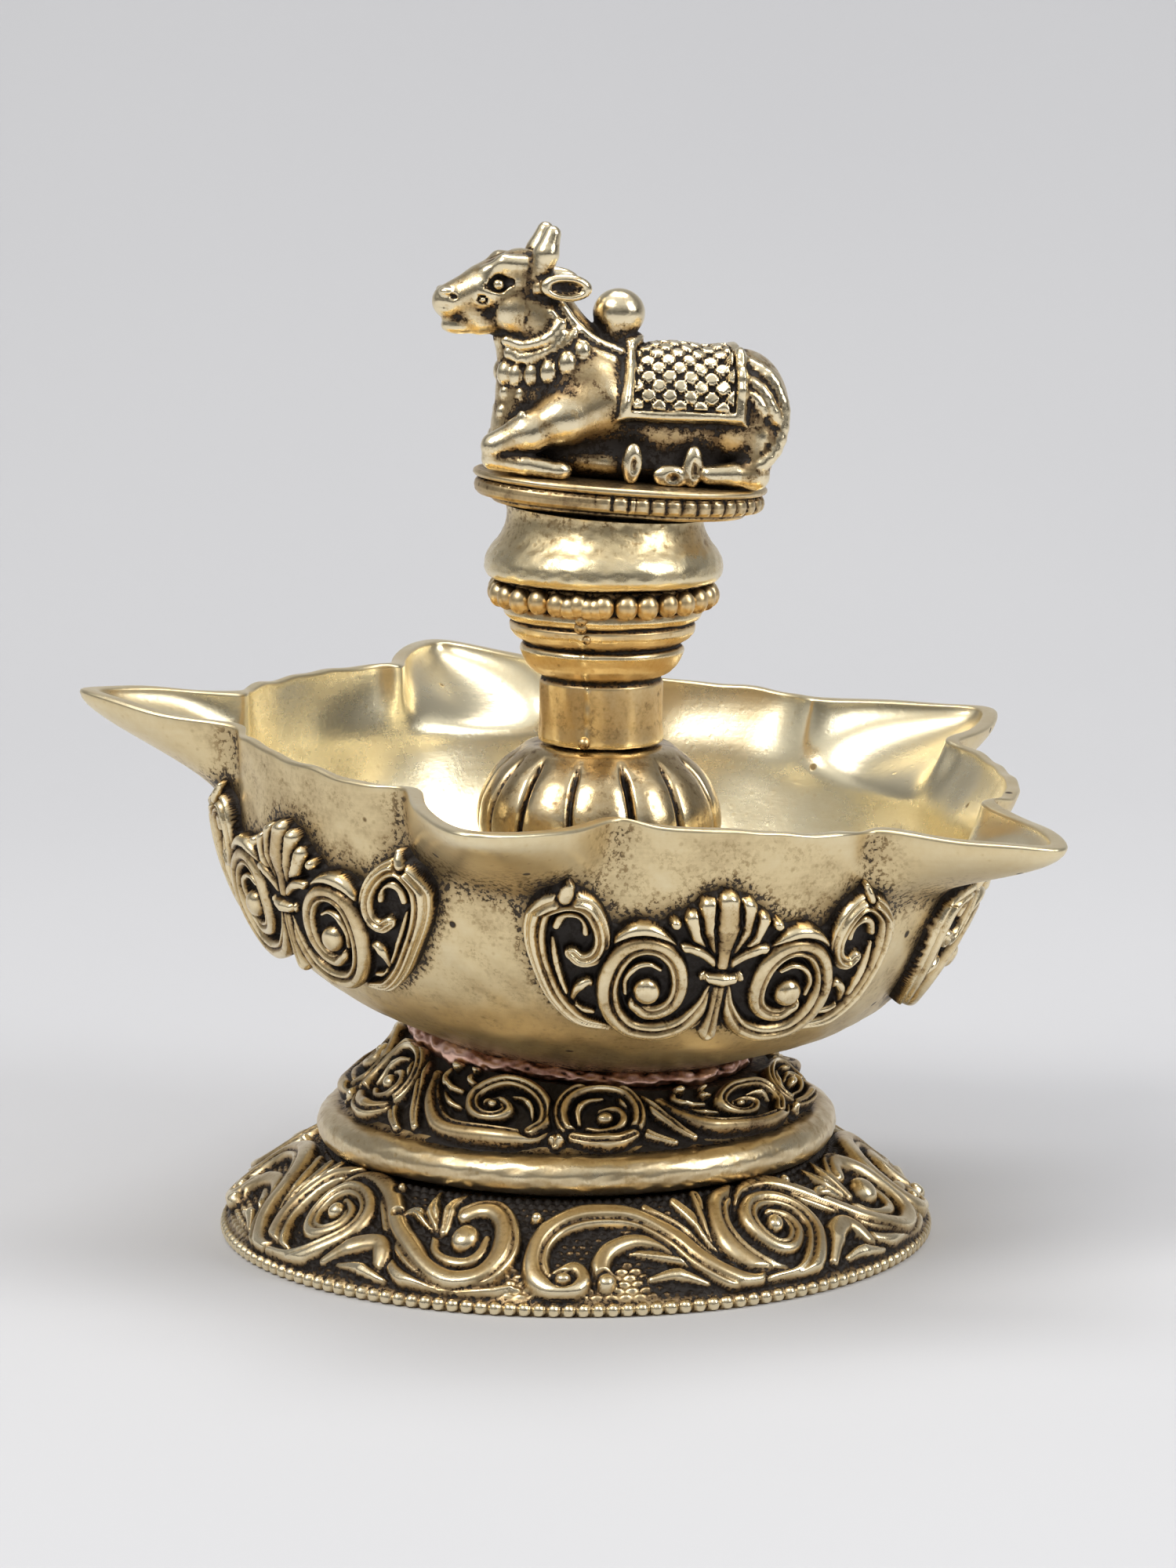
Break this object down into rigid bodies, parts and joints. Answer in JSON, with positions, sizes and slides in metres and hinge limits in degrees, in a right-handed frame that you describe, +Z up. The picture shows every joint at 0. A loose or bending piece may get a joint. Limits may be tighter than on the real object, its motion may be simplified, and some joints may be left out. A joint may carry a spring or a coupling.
{
  "type": "oil lamp",
  "caption": "Cast brass oil lamp with a pinched-rim bowl on a flared scroll-work foot; a lobed and beaded column in the bowl carries a seated bull.",
  "frame": {"origin": "on the floor, under the middle of the lamp's outline; the foot's own axis is at x 1.94 mm, y 2.19 mm", "axes": "+Z up along the column, -Y the front seen in the picture, -X the side that the bull faces"},
  "size_m": [0.118, 0.1214, 0.125],
  "materials": {
    "cast_brass": "antiqued, dark in the recesses",
    "dark_brass": "antiqued, mostly dark",
    "polished_brass": "satin, filed smooth",
    "braze": "copper-pink braze, rough",
    "steel": "plain"
  },
  "bodies": {
    "root": {"foot": "cast_brass", "pedestal": "dark_brass", "braze_collar": "braze", "bowl": "polished_brass", "bowl_plaque_1": "cast_brass", "bowl_plaque_2": "cast_brass", "bowl_plaque_3": "cast_brass", "bowl_plaque_4": "cast_brass", "bowl_plaque_5": "cast_brass", "column_base": "cast_brass", "melon_knop": "cast_brass", "neck_casting": "cast_brass", "bell_capital": "polished_brass", "tie_stud": "steel", "stud_washer": "steel", "stud_nut": "steel", "figure_plinth": "cast_brass", "seated_bull": "cast_brass"}
  },
  "joints": []
}
